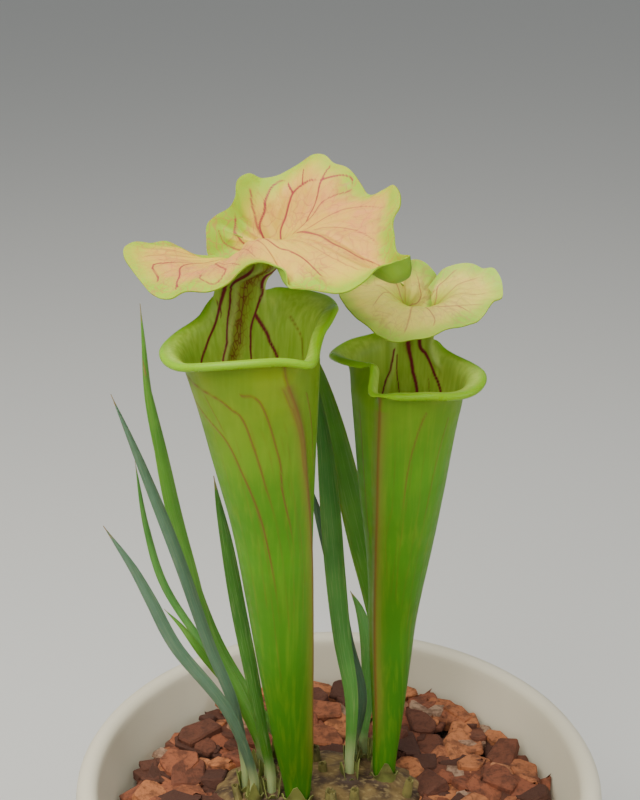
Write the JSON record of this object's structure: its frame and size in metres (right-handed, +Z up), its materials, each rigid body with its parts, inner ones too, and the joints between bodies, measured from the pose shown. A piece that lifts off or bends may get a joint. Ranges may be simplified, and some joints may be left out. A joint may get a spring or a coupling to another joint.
{
  "type": "potted pitcher plant",
  "caption": "Carnivorous plant in a round pot: upright trumpet pitchers with rolled lips and wavy veined hoods, a fan of sword leaves, and bark mulch.",
  "frame": {"origin": "centre of the pot's flat underside", "axes": "+Z up along the pot's axis; the mouths of the pitchers face -Y; +X is to the right when facing the mouths"},
  "size_m": [0.28, 0.28, 0.5144],
  "materials": {
    "cream": "matt cream plastic, faintly mottled",
    "soil": "damp dark peat mix",
    "bark": "matt red-brown bark pieces, some greyed",
    "crown": "rough brown rootstock with pale leaf scars",
    "pitcher": "satin waxy yellow-green with red veins, hood peach pink above",
    "leafGreen": "satin mid green leaf",
    "leafDeep": "satin dark green leaf",
    "leafBright": "satin fresh green leaf",
    "leafBlue": "matt blue-green leaf with a waxy bloom"
  },
  "bodies": {
    "root": {"pot": "cream", "potting_mix": "soil", "bark_mulch": "bark", "crown": "crown", "pitcher_front": "pitcher", "pitcher_back": "pitcher", "leaf_broad_behind_tubes": "leafGreen", "leaf_dark_behind_tubes": "leafDeep", "leaf_blue_behind_tubes": "leafBlue", "leaf_short_behind_tubes": "leafDeep", "leaf_tall_left": "leafGreen", "leaf_narrow_left": "leafGreen", "leaf_bright_short": "leafBright", "leaf_blue_left": "leafBlue", "leaf_blue_low_left": "leafBlue", "leaf_young_left": "leafBright", "leaf_thin_left": "leafDeep"}
  },
  "joints": []
}
